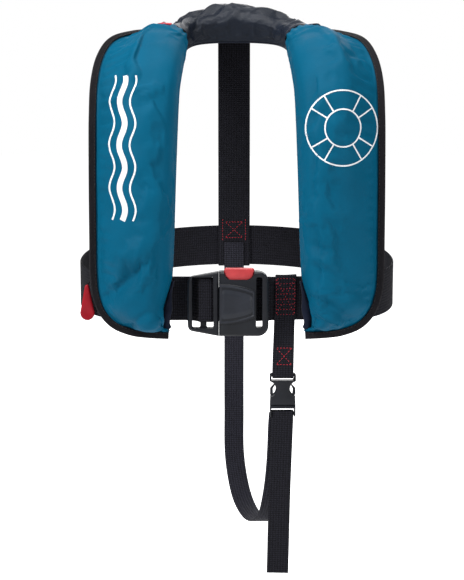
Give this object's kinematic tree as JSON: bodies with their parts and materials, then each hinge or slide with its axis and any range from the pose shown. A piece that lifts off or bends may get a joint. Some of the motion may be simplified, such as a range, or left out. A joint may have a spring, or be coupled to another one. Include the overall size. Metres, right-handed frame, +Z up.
{
  "type": "inflatable life jacket",
  "caption": "Junior inflatable life jacket, worn shape: two packed nylon lobes and a collar, waist belt with red-button buckle, crotch strap, and the inflator inside.",
  "frame": {"origin": "the middle of the collar's front edge, where the jacket rests on the back of the neck", "axes": "+Z up on a standing wearer, -Y to the wearer's front, +X to the wearer's left"},
  "size_m": [0.3674, 0.2672, 0.6544],
  "materials": {
    "nylon": "matte woven nylon",
    "collar_nylon": "crinkled charcoal nylon",
    "lining_fabric": "knitted lining",
    "binding_tape": "woven edge tape",
    "bladder_film": "coated, matte",
    "webbing": "woven polyester webbing",
    "buckle_plastic": "moulded, fine grain",
    "inflator_plastic": "moulded",
    "signal_red": "smooth moulded",
    "handle_red": "soft moulded",
    "steel": "satin",
    "brass": "satin",
    "whistle_plastic": "smooth moulded",
    "tag_fabric": "woven tag"
  },
  "bodies": {
    "jacket": {"cover_left": "nylon", "cover_right": "nylon", "collar_cover": "collar_nylon", "lining": "lining_fabric", "edge_binding": "binding_tape", "closure_flap_left": "lining_fabric", "closure_flap_right": "lining_fabric", "bladder": "bladder_film", "inflator_manifold": "brass", "manifold_nut": "steel", "inflator_body": "inflator_plastic", "lever_pin": "steel", "cylinder_seal": "brass", "co2_cylinder": "steel", "oral_tube": "inflator_plastic", "oral_valve_body": "inflator_plastic", "whistle": "whistle_plastic", "whistle_cord": "binding_tape", "waist_belt": "webbing", "back_strap": "webbing", "crotch_strap": "webbing", "clip_tab_strap": "webbing", "belt_loop_1": "binding_tape", "belt_loop_2": "binding_tape", "belt_loop_3": "binding_tape", "belt_loop_4": "binding_tape", "buckle_housing": "buckle_plastic", "buckle_back_plate": "buckle_plastic", "button_spring": "steel", "clip_socket": "buckle_plastic", "shoulder_tag": "tag_fabric"},
    "button": {"release_button": "signal_red", "latch_plate": "steel"},
    "tongue": {"buckle_tongue": "buckle_plastic", "adjuster_belt": "webbing"},
    "plug": {"clip_plug": "buckle_plastic", "crotch_strap_tail": "webbing"},
    "prong_left": {"clip_prong_left": "buckle_plastic"},
    "prong_right": {"clip_prong_right": "buckle_plastic"},
    "handle": {"pull_handle": "handle_red", "pull_cord": "binding_tape"},
    "lever": {"firing_lever": "inflator_plastic"},
    "pin": {"firing_pin": "steel"},
    "stem": {"oral_valve_stem": "signal_red"},
    "cap": {"oral_cap": "inflator_plastic"}
  },
  "joints": [
    {"name": "button_press", "type": "slide", "parent": "jacket", "child": "button", "axis": [0, 0, -1], "range_m": [0, 0.004], "stiffness_N_per_m": 300, "deforming": ["button_spring"]},
    {"name": "tongue_slide", "type": "slide", "parent": "jacket", "child": "tongue", "axis": [-1, 0, 0], "range_m": [0, 0.016], "deforming": ["latch_plate"]},
    {"name": "plug_slide", "type": "slide", "parent": "jacket", "child": "plug", "axis": [0, 0, -1], "range_m": [0, 0.028], "deforming": ["crotch_strap", "clip_prong_left", "clip_prong_right"]},
    {"name": "prong_left_flex", "type": "hinge", "parent": "plug", "child": "prong_left", "pos_m": [0.0578, -0.152, -0.415], "axis": [0, -1, 0], "range_deg": [0, 9], "stiffness_Nm_per_rad": 0.5},
    {"name": "prong_right_flex", "type": "hinge", "parent": "plug", "child": "prong_right", "pos_m": [0.0468, -0.152, -0.415], "axis": [0, 1, 0], "range_deg": [0, 9]},
    {"name": "handle_pull", "type": "slide", "parent": "jacket", "child": "handle", "axis": [-0.6053, 0.4542, -0.6537], "range_m": [0, 0.03]},
    {"name": "lever_turn", "type": "hinge", "parent": "jacket", "child": "lever", "pos_m": [-0.119, -0.1667, -0.2475], "axis": [0, -1, 0], "range_deg": [0, 54]},
    {"name": "pin_drive", "type": "slide", "parent": "jacket", "child": "pin", "axis": [0, 0, 1], "range_m": [0, 0.003]},
    {"name": "stem_press", "type": "slide", "parent": "jacket", "child": "stem", "axis": [0, 0, -1], "range_m": [0, 0.003], "stiffness_N_per_m": 200},
    {"name": "cap_lift", "type": "slide", "parent": "jacket", "child": "cap", "axis": [0, 0, 1], "range_m": [0, 0.016]}
  ],
  "couplings": [
    {"joint": "prong_right_flex", "follows": "prong_left_flex", "ratio": 1},
    {"joint": "lever_turn", "follows": "handle_pull", "rad_per_m": 31.416},
    {"joint": "pin_drive", "follows": "handle_pull", "ratio": 0.1}
  ]
}
